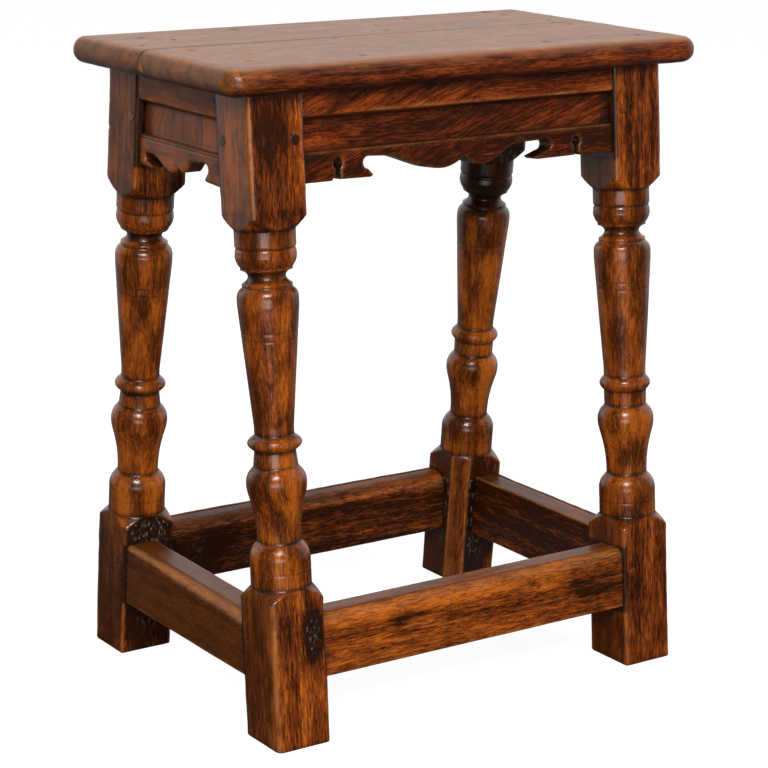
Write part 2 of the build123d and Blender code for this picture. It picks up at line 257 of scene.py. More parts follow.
# Knots, dark patches and paler wood on the legs' blocks, and painted shade high on the front right
# leg's left face under the apron: which face, then place, size and strength.
LEG_SPOTS = {
    "front_left_leg": {
        "front": [(13, 90, 9, 22, -1.35), (-10, 95, 9, 16, -0.2), (17, 475, 7, 50, 0.1),
                  (-7, 488, 17, 28, -0.6), (-6, 450, 18, 30, -0.3), (8, 36, 15, 24, 0.2),
                  (-6, 60, 5, 40, -0.3)],
        "left": [(0, 60, 26, 70, -0.3)],
    },
    "rear_left_leg": {
        "front": [(0, 115, 26, 28, -1.3), (0, 30, 26, 36, -0.9)],
        "left": [(0, 60, 26, 70, -0.45), (0, 470, 26, 60, -0.2)],
    },
    "rear_right_leg": {"front": [(0, 60, 26, 80, -1.0)], "left": [(0, 60, 26, 80, -0.9)]},
    "front_right_leg": {
        "front": [(0, 60, 26, 70, -0.35), (0, 470, 26, 60, -0.3)],
        "left": [(0, 60, 26, 70, -0.5), (0, 440, 26, 40, -0.8)],
    },
}
# Dull wax on the left face of a top block.
LEFT_GLOSS = {"rear_left_leg": -0.8}
# Painted shade on each leg's neck and ovolo, close under the apron: how much darker they are.
HEAD_SHADE = {"front_left_leg": 0.2, "front_right_leg": 0.05, "rear_left_leg": 0.35, "rear_right_leg": 0.9}


def turned_radius(name, foot, across, up):
    """Radius against height along the axis, read off the CAD leg between its blocks."""
    away = node_points(name) - foot
    h = away @ up
    r = np.hypot(away[:, 0], away @ across)
    drop = DROPS[name]
    keep = (h > TURNED_LOW - drop - 0.05) & (h < TURNED_HIGH - drop + 0.05) & (r > 5) & (r < HALF_LEG + 0.01)
    order = np.argsort(np.round(h[keep], 2) + r[keep] * 1e-6)
    return h[keep][order], r[keep][order]


def leg_radius(h, heights, radii, drop):
    """The turned outline with the sloping shoulders of the blocks, and wide open past them."""
    low = np.clip((TURNED_LOW - drop - h) / (TURNED_LOW - SHOULDER_FOOT), 0, 1)
    high = np.clip((h + drop - TURNED_HIGH) / (SHOULDER_HEAD - TURNED_HIGH), 0, 1)
    t = np.maximum(low, high)
    return np.interp(h, heights, radii) + SHOULDER_RISE * t + 4 * SHOULDER_BULGE * t * (1 - t)


def rounded_square(theta, half, corner):
    """Distance from the centre to a square with rounded corners, along theta."""
    c, s = np.abs(np.cos(theta)), np.abs(np.sin(theta))
    flat = half / np.maximum(c, s)
    inner = half - corner
    at_corner = inner * (c + s) + np.sqrt(np.maximum(corner ** 2 - (inner * (c - s)) ** 2, 0))
    return np.where(flat * np.minimum(c, s) > inner, at_corner, flat)


def make_leg(name, x_side, y_side, seed, material):
    up = np.array((0, -y_side * SIN, COS))
    across = np.array((0, COS, y_side * SIN))
    foot = np.array((x_side * LEG_X, y_side * FOOT_Y, 0.0))
    heights, radii = turned_radius(name, foot, across, up)

    levels = steps((0, 0.7), (6, 1.8), (104, 0.9), (412, 0.9), (432, 1.8), (SEAT_UNDERSIDE, 1))
    share = np.linspace(-1, 1, 37)[:-1]
    quarter = math.pi / 4 * (1 - np.sign(share) * (1 - (1 - np.abs(share)) ** 1.6))
    angles = np.concatenate([quarter[::-1] + k * math.pi / 2 for k in range(4)])
    theta, level = np.meshgrid(angles, levels)
    theta, level = theta.ravel(), level.ravel()
    h = level / COS
    unit = np.stack([np.cos(theta), np.sin(theta)], 1)

    # Wear along the arrises: the corner's radius and small chips change with height.
    corner_id = np.floor(theta / (math.pi / 2))
    line = np.stack([corner_id * 50 + 7.3, corner_id * 31 + 0.5, h], 1)
    free = (unit[:, 0] * x_side > 0) & (unit[:, 1] * y_side > 0)
    low, high = BESIDE_STRETCHER
    by_stretcher = smooth(low, low + COVER_EASE, h) * smooth(high, high - COVER_EASE, h)
    in_rails = np.maximum(smooth(BESIDE_APRON, BESIDE_APRON + COVER_EASE, h), by_stretcher)
    low_round, high_round = FREE_ARRIS_ROUND.get(name, USUAL_ARRIS_ROUND)
    free_round = np.where(h < TURNED_LOW, low_round, high_round)
    worn_corner = np.where(free, free_round, RAIL_ARRIS_ROUND - 0.5 * in_rails)
    ragged = 1 + 0.45 * noise(line, (1, 1, 38), seed) + 0.3 * noise(line, (1, 1, 9), seed + 1)
    corner = np.clip(worn_corner * ragged, *ARRIS_ROUND_LIMITS)
    over_round = np.clip(FOOT_ROUND - level, 0, None)
    foot_inset = FOOT_ROUND - np.sqrt(np.maximum(FOOT_ROUND ** 2 - over_round ** 2, 0))
    square = rounded_square(theta, HALF_LEG - BLOCK_INSET - foot_inset * 0.8, corner)
    cornerness = bell((theta % (math.pi / 2)) - math.pi / 4, 0.10)
    chips = smooth(0.45, 0.95, noise(line, (1, 1, 4.5), seed + 2)) * cornerness * free
    square = square - CHIP_DEPTH * chips
    if name == WANE_LEG:
        flat = HALF_LEG * math.sqrt(2) - WANE_WIDTH / math.sqrt(2) - 0.1
        toward_wane = -(unit[:, 0] * x_side + unit[:, 1] * y_side) / math.sqrt(2)
        cut = flat / np.maximum(toward_wane, 0.3)
        waned = (cut < square) & (h < TURNED_LOW)
        wane_arris = bell(cut - square, 0.9) * (h < TURNED_LOW) * (toward_wane > 0.6)
        square = np.where(waned, cut, square)
    else:
        waned, wane_arris = h < 0, 0 * h
    turned = leg_radius(h, heights, radii, DROPS[name])
    radius = np.minimum(square, turned) - 0.25 * np.exp(-np.abs(square - turned) / 0.8)

    place = np.stack([radius * unit[:, 0], radius * unit[:, 1], h], 1)
    in_block = smooth(0.2, 1.2, turned - square)
    radius = radius + 0.16 * noise(place, (14, 14, 60), seed + 3) - 0.16
    radius = radius - 0.10 * in_block * (1 + noise(place, (5, 5, 16), seed + 4))
    lines = sum(bell(h + DROPS[name] - mark, CUT_LINE_WIDTH) for mark in CUT_LINES) * (1 - in_block)
    radius = radius - CUT_LINE_DEPTH * lines
    on_x_face = np.abs(unit[:, 0]) > np.abs(unit[:, 1])
    on_front, on_left = ~on_x_face * (unit[:, 1] < 0), on_x_face * (unit[:, 0] < 0)
    hollows = patches(radius * unit[:, 0], h, LEG_HOLLOWS.get(name, [])) * on_front
    rough = 0.55 + 0.45 * noise(place, (3.2, 3.2, 6), seed + 8)
    radius = radius - hollows * rough * in_block

    x, q = radius * unit[:, 0], radius * unit[:, 1]
    lean = sum(smooth(start, end, level) for start, end in TURNING_LEVEL)
    h = (level - lean * q * y_side * SIN) / COS
    points = foot + x[:, None] * (1, 0, 0) + q[:, None] * across + h[:, None] * up

    # Masks: grime where the outline is hollow, wear where it stands proud and on the arrises.
    axis = np.arange(100, 440, 0.5)
    outline = leg_radius(axis, heights, radii, DROPS[name])
    wide, narrow = (np.convolve(np.pad(outline, reach, mode="edge"), np.ones(2 * reach + 1), "valid")
                    / (2 * reach + 1) for reach in (16, 5))
    proud = np.interp(h, axis, outline - wide)
    hollow = np.interp(h, axis, narrow - outline)
    edge_gap = radius * np.minimum(np.abs(unit[:, 0]), np.abs(unit[:, 1]))
    arris_width = np.where(free, 0.9 + 0.45 * worn_corner, 0.9)
    arris = bell(HALF_LEG - edge_gap, arris_width) * in_block
    arris = arris * np.where(free, 1.0, 0.75 * (1 - in_rails)) + 0.7 * wane_arris
    patch = 0.6 + 0.4 * noise(place, (6, 6, 14), seed + 5)
    wear = arris * (0.75 + 0.5 * noise(line, (1, 1, 22), seed + 6)) + smooth(0.5, 4, proud) * patch * 0.35
    grime_and_shade = (smooth(0.4, 2.2, -proud) + 0.8 * smooth(0.1, 0.6, hollow)) * (1 - in_block) + 0.5 * lines
    # Darker near the floor, and painted shade just under the seat.
    grime_and_shade = grime_and_shade + smooth(7, 0, level) * 0.5 + smooth(502, 515, level) * 0.6
    grime_and_shade = grime_and_shade + 0.5 * smooth(0.3, 1.5, hollows)
    # Behind a rail, and on the arris beside an end rail, painted shade darkens the leg.
    inner = np.where(on_x_face, unit[:, 0] * x_side, unit[:, 1] * y_side) < 0
    beside = on_x_face & (radius * unit[:, 1] * y_side < 1.6 - HALF_LEG)
    by_rail = in_rails * (inner | beside) * ~waned
    grime_and_shade = grime_and_shade + 1.3 * by_rail
    calm = np.where(on_x_face, 0.9, 0.15) * in_block + 0.6 * (1 - in_block)
    spots = LEG_SPOTS.get(name, {})
    shade = on_front * patches(radius * unit[:, 0], h, spots.get("front", []))
    shade = shade + on_left * patches(radius * unit[:, 1], h, spots.get("left", []))
    # Painted shade behind and beside the rails deepens the shade mask too.
    shade = np.where(waned, 0.0, shade) - 0.3 * by_rail
    mottled = 0.42 * noise(place, (12, 12, 26), seed + 7) - 0.03
    shade = shade * in_block + (1 - in_block) * mottled
    # Painted shade darkens the neck and ovolo under the apron.
    shade = shade - smooth(350, 375, h) * smooth(432, 420, h) * HEAD_SHADE[name]

    rows, cols = len(levels), len(angles)
    faces = ring_faces(rows, cols)
    bottom, top = len(points), len(points) + 1
    points = np.vstack([points, foot, foot + up * SEAT_UNDERSIDE / COS])
    faces += [(bottom, (c + 1) % cols, c) for c in range(cols)]
    first = (rows - 1) * cols
    faces += [(top, first + c, first + (c + 1) % cols) for c in range(cols)]
    wood = np.stack([x, q, h], 1) + (seed * 37.0, seed * 53.0, seed * 91.0)
    wood = np.vstack([wood, wood[:2]])
    gloss = np.where(on_left * (h > TURNED_HIGH), LEFT_GLOSS.get(name, 0.0), 0.0) * in_block + 1 - in_block
    masks = (np.append(mask, (0, 0)) for mask in (wear, grime_and_shade, calm, shade, gloss))
    make_piece(name + "_turned", [name], "leg_oak", material, points, faces, wood, *masks)


# ---------------------------------------------------------------- outlines as filled meshes
def back_loop(name, side):
    """The outline of a rail's back face, in the side's (u, v), read off the CAD node."""
    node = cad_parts[name]
    local = side.from_world(node_points(name))
    back = local[:, 2].min()
    places, index = np.unique(np.round(local[:, :2], 2), axis=0, return_inverse=True)
    index = index.ravel()
    edges = {}
    for polygon in node.data.polygons:
        corners = list(polygon.vertices)
        if max(local[corners, 2]) < back + 0.02:
            ids = index[corners]
            edges.update(((a, b), True) for a, b in zip(ids, np.roll(ids, -1)) if a != b)
    after = {a: b for a, b in edges if (b, a) not in edges}
    loop = [next(iter(after))]
    while after[loop[-1]] != loop[0]:
        loop.append(after[loop[-1]])
    return places[loop[::-1]]


def split_loop(loop, step):
    """The closed loop with its long edges cut into steps."""
    out = []
    for a, b in zip(loop, np.roll(loop, -1, axis=0)):
        count = max(1, int(math.ceil(np.hypot(*(b - a)) / step)))
        out.extend(a + (b - a) * k / count for k in range(count))
    return np.array(out)


def distance_to_loop(points, loop):
    """Distance of each point from the nearest point of a finely cut loop."""
    out = np.zeros(len(points))
    for start in range(0, len(points), 2000):
        part = points[start:start + 2000]
        gap = part[:, None, :] - loop[None, :, :]
        out[start:start + 2000] = np.sqrt((gap ** 2).sum(2).min(1))
    return out


def inside(points, loop):
    """Whether each point lies inside a closed loop."""
    x, y = points.T
    crossings = np.zeros(len(points), int)
    for (ax, ay), (bx, by) in zip(loop, np.roll(loop, -1, axis=0)):
        if ay != by:
            spans = (ay > y) != (by > y)
            crossings += spans & (x < ax + (y - ay) * (bx - ax) / (by - ay))
    return crossings % 2 == 1


def fill(loop, inner):
    """Triangles over a closed loop with extra points inside it. The loop's points come first."""
    flat = np.vstack([loop, inner])
    around = [(k, (k + 1) % len(loop)) for k in range(len(loop))]
    _, _, triangles, sources, _, _ = delaunay_2d_cdt([Vector(p) for p in flat], around, [], 0, 1e-5, True)
    lookup = [ids[0] if ids else -1 for ids in sources]
    out = np.array([[lookup[i] for i in t] for t in triangles])
    out = out[(out >= 0).all(1)]
    middles = flat[out].mean(1)
    return [tuple(int(i) for i in t) for t in out[inside(middles, loop)]]


# ---------------------------------------------------------------- aprons
# Distances from the legs' centre lines of an apron's faces and its back, then heights of two edges.
ApronSizes = namedtuple("ApronSizes", "band recess lower back band_foot bead_top")
LONG = ApronSizes(23.0, 17.5, 21.0, 4.0, 495.0, 468.0)
SHORT = ApronSizes(23.6, 17.0, 21.0, 5.5, 491.5, 462.5)
# How far the figure of an end panel bends over.
BEND = 22.0
# Nicks cut along a long apron's bead, from one place to another.
NICK_STEP = 5.7
NICK_DEPTH = 0.55
NICKS = (12.0, 112.0)
NICKS_EASE = 8.0
# Sizes of an apron's mesh: step along its outline, step in its face, rows through its thickness.
OUTLINE_STEP = 1.3
FACE_STEP = 1.9
WALL_ROWS = 7


def apron_face(v, sizes):
    """Distance of the apron's face from the legs' centre lines, at height v."""
    foot, bead = sizes.band_foot, sizes.bead_top
    marks = [
        (0, sizes.lower), (bead - 3.6, sizes.lower), (bead - 2.9, sizes.lower - 1.3),
        (bead - 2.2, sizes.lower - 0.5), (bead - 1.3, sizes.lower - 0.3), (bead - 0.3, sizes.lower - 1.2),
        (bead + 0.5, sizes.recess + 0.6), (bead + 1.4, sizes.recess), (foot - 4.2, sizes.recess),
        (foot - 3.2, sizes.recess + 0.4), (foot - 2.0, sizes.recess + 1.9), (foot - 0.9, sizes.band - 1.2),
        (foot - 0.1, sizes.band - 1.0), (foot + 0.4, sizes.band), (600, sizes.band),
    ]
    return np.interp(v, [m[0] for m in marks], [m[1] for m in marks])


def make_apron(side, sizes, seed, material, curled=False):
    name = f"{side.name}_apron"
    loop = split_loop(back_loop(name, side), OUTLINE_STEP)
    fine_loop = split_loop(loop, 0.7)
    low, high = loop.min(0), loop.max(0)
    foot, bead = sizes.band_foot, sizes.bead_top
    rows = steps((low[1], 1.6), (bead - 5, 0.45), (bead + 2, 1.9), (foot - 5, 0.45), (foot + 1.5, 2.2),
                 (high[1], 1))
    columns = np.arange(low[0], high[0], FACE_STEP)
    inner = np.array([(u + (k % 2) * FACE_STEP / 2, v) for k, v in enumerate(rows) for u in columns])
    inner = inner[(distance_to_loop(inner, fine_loop) > 0.7) & inside(inner, loop)]
    triangles = fill(loop, inner)
    flat = np.vstack([loop, inner])
    edge = distance_to_loop(flat, fine_loop)

    def level_top(v, n):
        """The top edge is planed level under the seat, so its height up the rail depends on n."""
        top = (SEAT_UNDERSIDE - n * SIN) / COS if side.leaning else SEAT_UNDERSIDE + 0 * n
        return np.minimum(v, top)

    u, v = flat[:, 0], flat[:, 1]
    n = apron_face(v, sizes)
    place = np.stack([n, v, u], 1)
    rounding = 0.9 * np.exp(-edge / 0.8) * (v < foot)
    n = n - rounding - 0.12 * (1 + noise(place, (40, 7, 26), seed))
    n = n - 0.10 * (1 + noise(place, (9, 4, 30), seed + 1))
    if not curled:
        nicked = smooth(NICKS[0], NICKS[0] + NICKS_EASE, u) * smooth(NICKS[1], NICKS[1] - NICKS_EASE, u)
        nicked = nicked * bell(v - bead + 1.8, 1.0)
        n = n - NICK_DEPTH * nicked * (1 + np.cos(2 * math.pi * u / NICK_STEP))
    front = np.stack([u, level_top(v, n), n], 1)
    back_n = 0 * n + sizes.back
    back = np.stack([u, level_top(v, back_n), back_n + 0.3 * noise(place, (40, 12, 30), seed + 2)], 1)

    ring = len(loop)
    walls = [front[:ring] * (1 - k / WALL_ROWS) + back[:ring] * k / WALL_ROWS for k in range(1, WALL_ROWS)]
    count = len(flat)
    points = np.vstack([front, back, *walls])
    faces = triangles + [tuple(i + count for i in reversed(t)) for t in triangles]
    starts = [0, *[2 * count + k * ring for k in range(len(walls))], count]
    for a, b in zip(starts, starts[1:]):
        faces += [(a + (c + 1) % ring, a + c, b + c, b + (c + 1) % ring) for c in range(ring)]

    all_u, all_v, all_n = points.T
    place = np.stack([all_n, all_v, all_u], 1)
    face_n = apron_face(all_v, sizes)
    on_face = (all_n > face_n - 1.6) & (np.arange(len(points)) < count)
    gap = np.concatenate([edge, edge, np.zeros(ring * len(walls))])
    wear = bell(gap, 1.3) * (all_v < foot) * (0.6 + 0.5 * noise(place, (8, 8, 14), seed + 3))
    wear = wear * np.where(on_face, 0.15 if curled else 0.3, 0.05)
    proud_lines = bell(all_v - bead + 1.8, 0.8) + bell(all_v - foot - 0.8, 0.9)
    wear = wear + on_face * proud_lines * (0.45 + 0.4 * noise(place, (8, 8, 20), seed + 4))
    in_recess = smooth(bead - 3.8, bead - 3.0, all_v) * smooth(bead + 6, bead + 1, all_v)
    in_recess = in_recess + smooth(foot - 9, foot - 3.5, all_v) * smooth(foot + 0.5, foot - 0.5, all_v)
    at_leg = np.exp(-(np.abs(side.shoulder(all_v) - np.abs(all_u)) / 4.0))
    under_seat = smooth(SEAT_UNDERSIDE - 7, SEAT_UNDERSIDE, all_v)
    in_panel = smooth(bead - 1, bead + 1, all_v) * smooth(foot, foot - 2, all_v)
    # Darker in the recesses and next to the legs; painted shade under the seat, on the cut walls and on the
    # back.
    grime_and_shade = on_face * (in_recess * 0.45 + at_leg * 0.7 + under_seat * 0.9) + (1 - on_face) * 1.1
    if curled:
        # The panel has a curled figure: it stands upright and bends over at the rear end.
        grimy_shaded_end = smooth(-46, -54, all_u)
        bend = BEND * np.clip((all_v - bead) / (foot - bead), 0, 1) ** 2 * smooth(0, -45, all_u)
        curls = np.stack([all_n, all_u - bend, all_v * 0.55], 1)
        wood = np.where(in_panel[:, None] > 0.5, curls, place)
        calm = 0.9 - 0.2 * in_panel
        gloss = -1.0 + 0.5 * in_panel + 0.6 * (all_v < bead)
    else:
        # The grain climbs towards the middle on one side and dips past it.
        climb = -0.38 * np.minimum(all_u - 15, 0) * (1 - in_panel) - 0.32 * np.maximum(all_u, -30) * in_panel
        grimy_shaded_end = smooth(-13, -9, np.abs(all_u) - side.shoulder(all_v)) * (all_u > 0)
        wood = np.stack([all_n, all_v + climb, all_u], 1)
        calm, gloss = 0.1, 0.0
    # The recess's end beside a leg is darker with grime and painted shade.
    grime_and_shade = grime_and_shade + 0.6 * grimy_shaded_end * in_panel
    wood = wood + (seed * 41.0, seed * 67.0, seed * 29.0)
    shade = (-0.05 if curled else -0.25) * in_panel - (0.05 if curled else 0.40) * (all_v < bead)
    make_piece(f"{name}_carved", [name], "apron_oak", material, side.to_world(points), faces, wood,
               wear, grime_and_shade, calm, shade, gloss)


# ---------------------------------------------------------------- stretchers
# A stretcher's face and back, from the legs' centre lines, then its groove and its lower arrises.
STRETCHER_FACE = 22.5
STRETCHER_BACK = -5.5
GROOVE_FROM_FACE = 6.5
GROOVE_HALF_WIDTH = 0.7
GROOVE_DEPTH = 0.8
LOWER_ROUND = 1.3
# Edges up the side, radii of the two upper arrises from one end to the other, how far the top is worn
# down at the far end, how calm the figure is, how bare the top and the arrises are, shade, and how
# dull the top is.
StretcherSizes = namedtuple(
    "StretcherSizes", "bottom top outer_round inner_round sunk calm scuffed bared shade dull_top",
    defaults=(0.0, 0.0, 0.1, 1.0, 0.0, 1.0))
STRETCHERS = {
    "front": StretcherSizes(51.8, 103.8, (11.0, 9.0), (1.5, 1.5), calm=0.15, bared=0.7),
    "rear": StretcherSizes(50.0, 105.0, (4.5, 4.5), (15.0, 13.0), calm=0.1, bared=0.3, shade=-0.22),
    "left": StretcherSizes(48.4, 102.5, (4.5, 11.0), (1.3, 1.3), sunk=3.0, calm=1.0, scuffed=0.0,
                           dull_top=0.75),
    "right": StretcherSizes(46.9, 104.4, (4.5, 4.5), (1.2, 1.2), calm=0.15, shade=-0.25),
}
STRETCHER_SPOTS = {
    "front": [(-70, 86, 22, 8, -0.3), (125, 80, 30, 30, -0.4), (-20, 92, 70, 6, 0.3)],
    "rear": [(120, 75, 40, 30, -0.4)],
}


def stretcher_section(sizes):
    """Closed square section (n, v) from the lower outer arris, up the face and round."""
    bottom, top, face, back = sizes.bottom, sizes.top, STRETCHER_FACE, STRETCHER_BACK
    groove = face - GROOVE_FROM_FACE
    up = steps((bottom, 0.5), (bottom + 2, 1.7), (top - 12, 0.7), (top, 1))
    back_up = steps((bottom, 0.5), (bottom + 2, 2.2), (top - 9, 0.7), (top, 1))
    across = steps((back, 0.7), (back + 9, 1.4), (groove - 1.2, 0.4), (groove + 1.2, 0.8), (face, 1))
    under = steps((back, 0.5), (back + 2, 2.2), (face - 2, 0.5), (face, 1))
    section = [(face, v) for v in up[:-1]] + [(n, top) for n in across[:0:-1]]
    section += [(back, v) for v in back_up[:0:-1]] + [(n, bottom) for n in under[:-1]]
    return np.array(section)


def make_stretcher(side, sizes, seed, material):
    name = f"{side.name}_stretcher"
    section = stretcher_section(sizes)
    bottom, top = sizes.bottom, sizes.top
    stations = np.linspace(-1, 1, int(2 * side.shoulder(top) / 1.8))
    cols = len(section)
    share = np.repeat(stations, cols)
    n, v = np.tile(section, (len(stations), 1)).T
    u = share * side.shoulder(v)
    place = np.stack([n, v, u], 1)
    along = (share + 1) / 2
    ragged = 1 + 0.16 * noise(place, (99, 99, 16), seed) + 0.10 * noise(place, (99, 99, 5), seed + 1)
    outer = ragged * np.interp(along, (0, 1), sizes.outer_round)
    inner = ragged * np.interp(along, (0, 1), sizes.inner_round)
    groove = bell(n - STRETCHER_FACE + GROOVE_FROM_FACE, GROOVE_HALF_WIDTH) * (v > top - 0.1)
    sunk_top = top - sizes.sunk * along ** 1.5
    still = bottom + 10
    squeezed = still + (v - GROOVE_DEPTH * groove - still) * (sunk_top - still) / (top - still)
    v = np.where(v > still, squeezed, v)
    n, v = round_corner(n, v, STRETCHER_FACE, sunk_top, outer)
    minus_n, v = round_corner(-n, v, -STRETCHER_BACK, sunk_top, inner)
    n, minus_v = round_corner(-minus_n, -v, STRETCHER_FACE, -bottom, LOWER_ROUND * ragged)
    minus_n, minus_v = round_corner(-n, minus_v, -STRETCHER_BACK, -bottom, LOWER_ROUND * ragged)
    n, v = -minus_n, -minus_v
    # Planed unevenness, which only ever takes wood away.
    wearing = 0.10 * (1 + noise(place, (9, 9, 40), seed + 2))
    wearing = wearing + 0.08 * (1 + noise(place, (5, 5, 12), seed + 3))
    from_n = (n - (STRETCHER_FACE + STRETCHER_BACK) / 2) / ((STRETCHER_FACE - STRETCHER_BACK) / 2)
    from_v = (v - (top + bottom) / 2) / ((top - bottom) / 2)
    reach = np.maximum(np.abs(from_n), np.abs(from_v))
    n = n - wearing * np.sign(from_n) * (np.abs(from_n) / reach) ** 6
    v = v - wearing * np.sign(from_v) * (np.abs(from_v) / reach) ** 6
    points = side.to_world(np.stack([u, v, n], 1))
    rows = len(stations)
    faces = [tuple(reversed(f)) for f in ring_faces(rows, cols)]
    faces += [tuple(range(cols)), tuple(reversed(range((rows - 1) * cols, rows * cols)))]

    patch = 0.65 + 0.5 * noise(place, (30, 30, 14), seed + 4)
    to_outer = np.hypot(n - STRETCHER_FACE + outer * 0.3, v - sunk_top + outer * 0.3)
    to_inner = np.hypot(n - STRETCHER_BACK - inner * 0.3, v - sunk_top + inner * 0.3)
    low_arris = bell(np.hypot(n - STRETCHER_FACE, v - bottom), 2)
    wear = bell(to_outer, 1.0 + outer * 0.45) + bell(to_inner, 0.7 + inner * 0.4)
    wear = (wear + 0.6 * low_arris) * patch * sizes.bared
    wear = wear + sizes.scuffed * smooth(sunk_top - 3, sunk_top - 0.5, v) * patch
    at_leg = np.exp(-np.abs(side.shoulder(v) - np.abs(u)) / 3.0)
    grime_and_shade = groove * 0.8 + at_leg * 0.7 + smooth(bottom + 3, bottom, v) * 0.2
    on_top = smooth(sunk_top - 2, sunk_top - 0.5, v)
    on_inner = smooth(STRETCHER_BACK + 1, STRETCHER_BACK + 0.3, n)
    calm = np.maximum(sizes.calm, 0.4 * on_top)
    shade = patches(u, v, STRETCHER_SPOTS.get(side.name, [])) - 0.25 * on_inner + sizes.shade
    gloss = -sizes.dull_top * smooth(sunk_top - 6, sunk_top - 1, v)
    wood = np.stack([n, v, u], 1) + (seed * 43.0, seed * 61.0, seed * 31.0)
    make_piece(f"{name}_worn", [name], "stretcher_oak", material, points, faces, wood,
               wear, grime_and_shade, calm, shade, gloss)


# ---------------------------------------------------------------- top
# Old nail holes, plugs and dents in the top: (x, y, radius, depth).
TOP_MARKS = [
    (-167, 62, 3.2, 0.8), (-208, 39, 2.6, 0.7), (-190, -8, 4.0, 0.9), (-162, -48, 2.2, 0.4),
    (183, 112, 6.5, 1.2), (192, 30, 3.0, 0.5), (37, 72, 2.4, 0.5), (23, 34, 3.4, 0.7),
    (8, 34, 2.2, 0.4), (-90, -99, 4.4, 0.5), (90, -99, 4.4, 0.9), (188, -95, 3.6, 0.6),
    (-88, 100, 4.4, 0.6), (88, 100, 4.4, 0.5), (-185, 84, 4.2, 0.6), (190, -3, 4.0, 0.5),
    (-64, 74, 2.2, 0.5), (-47, 8, 3.0, 0.5), (185, 88, 4.0, 0.5), (-185, -86, 4.2, 0.4),
]
# How far the left end is worn back, and how much more at the joint.
LEFT_END_LOSS = 2.2
JOINT_END_LOSS = 1.4
JOINT_ARRIS_LOSS = 0.45
# Half the gap left between the two boards.
JOINT_GAP = 0.02
# A chip and the dirt round it at the joint's left end: (y, z, half width, half height, strength).
CHIP = (BOARD_JOINT_Y - 3.0, 523, 3.6, 3.4, 1.2)
CHIP_DIRT = (BOARD_JOINT_Y + 2.0, 520, 9, 7, 0.6)
# Rows round a board's edge, and its two straight parts over and under the middle.
EDGE_ROWS = 15
EDGE_STRAIGHT = 0.4


def at_height(flat, z):
    """Flat places, all at one height."""
    return np.column_stack([flat, np.full(len(flat), z)])


def board_path(front):
    """The board's outer edge from one end of the joint round to the other: points and normals."""
    side = -1 if front else 1
    radius = SEAT_FRONT_CORNER if front else SEAT_REAR_CORNER
    x, y = SEAT_HALF_LENGTH, SEAT_HALF_WIDTH
    places, normals = [], []

    def run(start, end, normal):
        count = max(2, int(np.hypot(end[0] - start[0], end[1] - start[1]) / 2.0))
        for t in np.linspace(0, 1, count, endpoint=False):
            places.append((start[0] + (end[0] - start[0]) * t, start[1] + (end[1] - start[1]) * t))
            normals.append(normal)

    def corner(cx, cy, start, end):
        for a in np.radians(np.linspace(start, end, 24, endpoint=False)):
            places.append((cx + radius * math.cos(a), cy + radius * math.sin(a)))
            normals.append((math.cos(a), math.sin(a)))

    edge = side * (y - radius)
    run((-x, BOARD_JOINT_Y), (-x, edge), (-1, 0))
    corner(-x + radius, edge, 180, 180 - side * 90)
    run((-x + radius, side * y), (x - radius, side * y), (0, side))
    corner(x - radius, edge, side * 90, 0)
    run((x, edge), (x, BOARD_JOINT_Y), (1, 0))
    places.append((x, BOARD_JOINT_Y))
    normals.append((1, 0))
    return np.array(places, float), np.array(normals, float)


